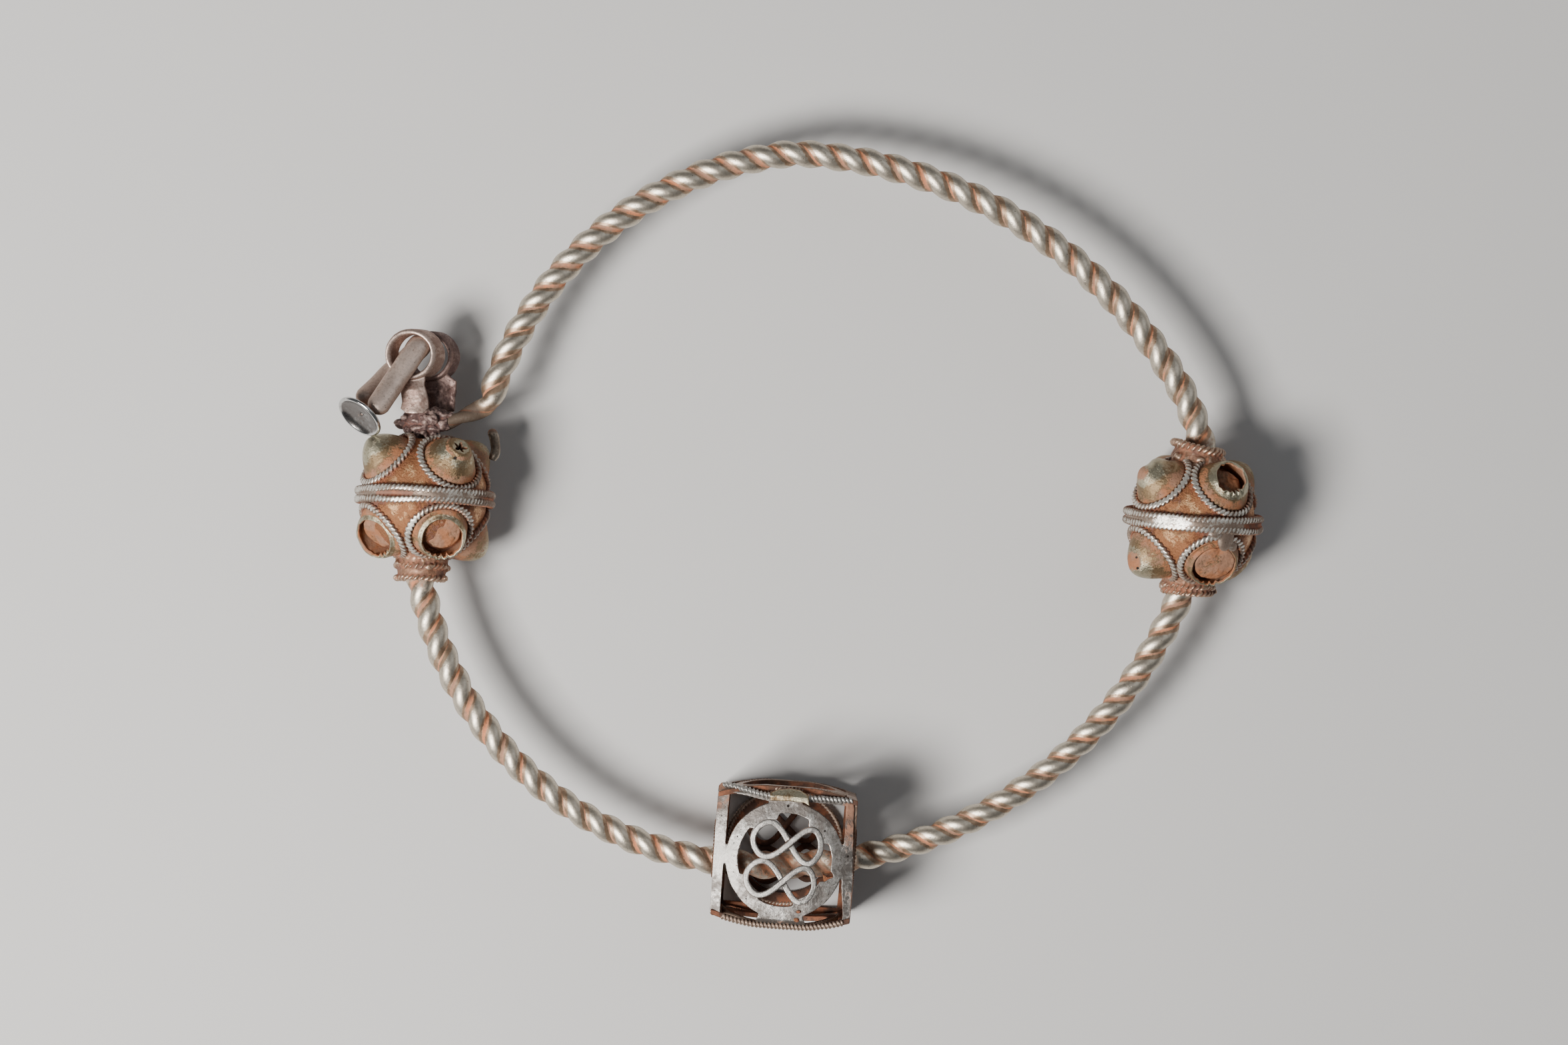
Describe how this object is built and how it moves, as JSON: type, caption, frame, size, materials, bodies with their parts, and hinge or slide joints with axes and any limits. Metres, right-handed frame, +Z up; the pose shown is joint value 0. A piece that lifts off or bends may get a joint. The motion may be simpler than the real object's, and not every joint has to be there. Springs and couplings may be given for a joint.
{
  "type": "twisted-wire hoop earring",
  "caption": "Worn silver hoop earring of twisted wire, threaded through bossed round beads and a square openwork bead, with a folded strap clasp; dented, dirty and partly broken.",
  "frame": {"origin": "middle of the footprint, on the surface that the earring lies on", "axes": "+X across the hoop from the clasp side to the other bossed bead, +Y to the top of the hoop away from the openwork bead, +Z up through the hoop"},
  "size_m": [0.0776, 0.066, 0.0123],
  "materials": {
    "worn_silver": "worn twisted silver wire with coppery residue between the strands",
    "coppery_sheet": "thin warm coppery-pink sheet, dull, with dirt",
    "boss_silver": "thin worn silver sheet with an olive tarnish",
    "trim_silver": "worn twisted silver trimming wire",
    "cage_silver": "worn grey silver openwork, brown inside",
    "clasp_silver": "pinkish grey-brown silver strip",
    "dark_crust": "dark purple-brown crust of old solder and dirt"
  },
  "bodies": {
    "root": {"clasp_back_eye": "clasp_silver", "clasp_button": "clasp_silver", "clasp_front_eye": "clasp_silver", "clasp_strap": "clasp_silver", "hook_stub": "clasp_silver", "hoop": "worn_silver", "left_bead_band": "trim_silver", "left_bead_lower_collar": "trim_silver", "left_bead_neck_crust": "dark_crust", "left_bead_shell": "coppery_sheet", "left_lower_boss_1": "boss_silver", "left_lower_boss_1_wire": "trim_silver", "left_lower_boss_2": "boss_silver", "left_lower_boss_2_wire": "trim_silver", "left_lower_boss_3": "boss_silver", "left_lower_boss_3_wire": "trim_silver", "left_lower_boss_4": "boss_silver", "left_lower_boss_4_wire": "trim_silver", "left_upper_boss_1": "boss_silver", "left_upper_boss_1_wire": "trim_silver", "left_upper_boss_2": "boss_silver", "left_upper_boss_2_wire": "trim_silver", "left_upper_boss_3": "boss_silver", "left_upper_boss_3_wire": "trim_silver", "left_upper_boss_4": "boss_silver", "left_upper_boss_4_wire": "trim_silver", "openwork_back_lower_scroll": "cage_silver", "openwork_back_panel": "cage_silver", "openwork_back_upper_scroll": "cage_silver", "openwork_front_lower_scroll": "cage_silver", "openwork_front_panel": "cage_silver", "openwork_front_upper_scroll": "cage_silver", "openwork_inner_panel": "cage_silver", "openwork_left_end": "cage_silver", "openwork_outer_panel": "cage_silver", "openwork_right_end": "cage_silver", "openwork_tab": "clasp_silver", "right_bead_band": "trim_silver", "right_bead_lower_collar": "trim_silver", "right_bead_shell": "coppery_sheet", "right_bead_upper_collar": "trim_silver", "right_lower_boss_1": "boss_silver", "right_lower_boss_1_wire": "trim_silver", "right_lower_boss_2": "boss_silver", "right_lower_boss_2_wire": "trim_silver", "right_lower_boss_3": "boss_silver", "right_lower_boss_3_wire": "trim_silver", "right_lower_boss_4": "boss_silver", "right_lower_boss_4_wire": "trim_silver", "right_upper_boss_1": "boss_silver", "right_upper_boss_1_wire": "trim_silver", "right_upper_boss_2": "boss_silver", "right_upper_boss_2_wire": "trim_silver", "right_upper_boss_3": "boss_silver", "right_upper_boss_3_wire": "trim_silver", "right_upper_boss_4": "boss_silver", "right_upper_boss_4_wire": "trim_silver"}
  },
  "joints": []
}
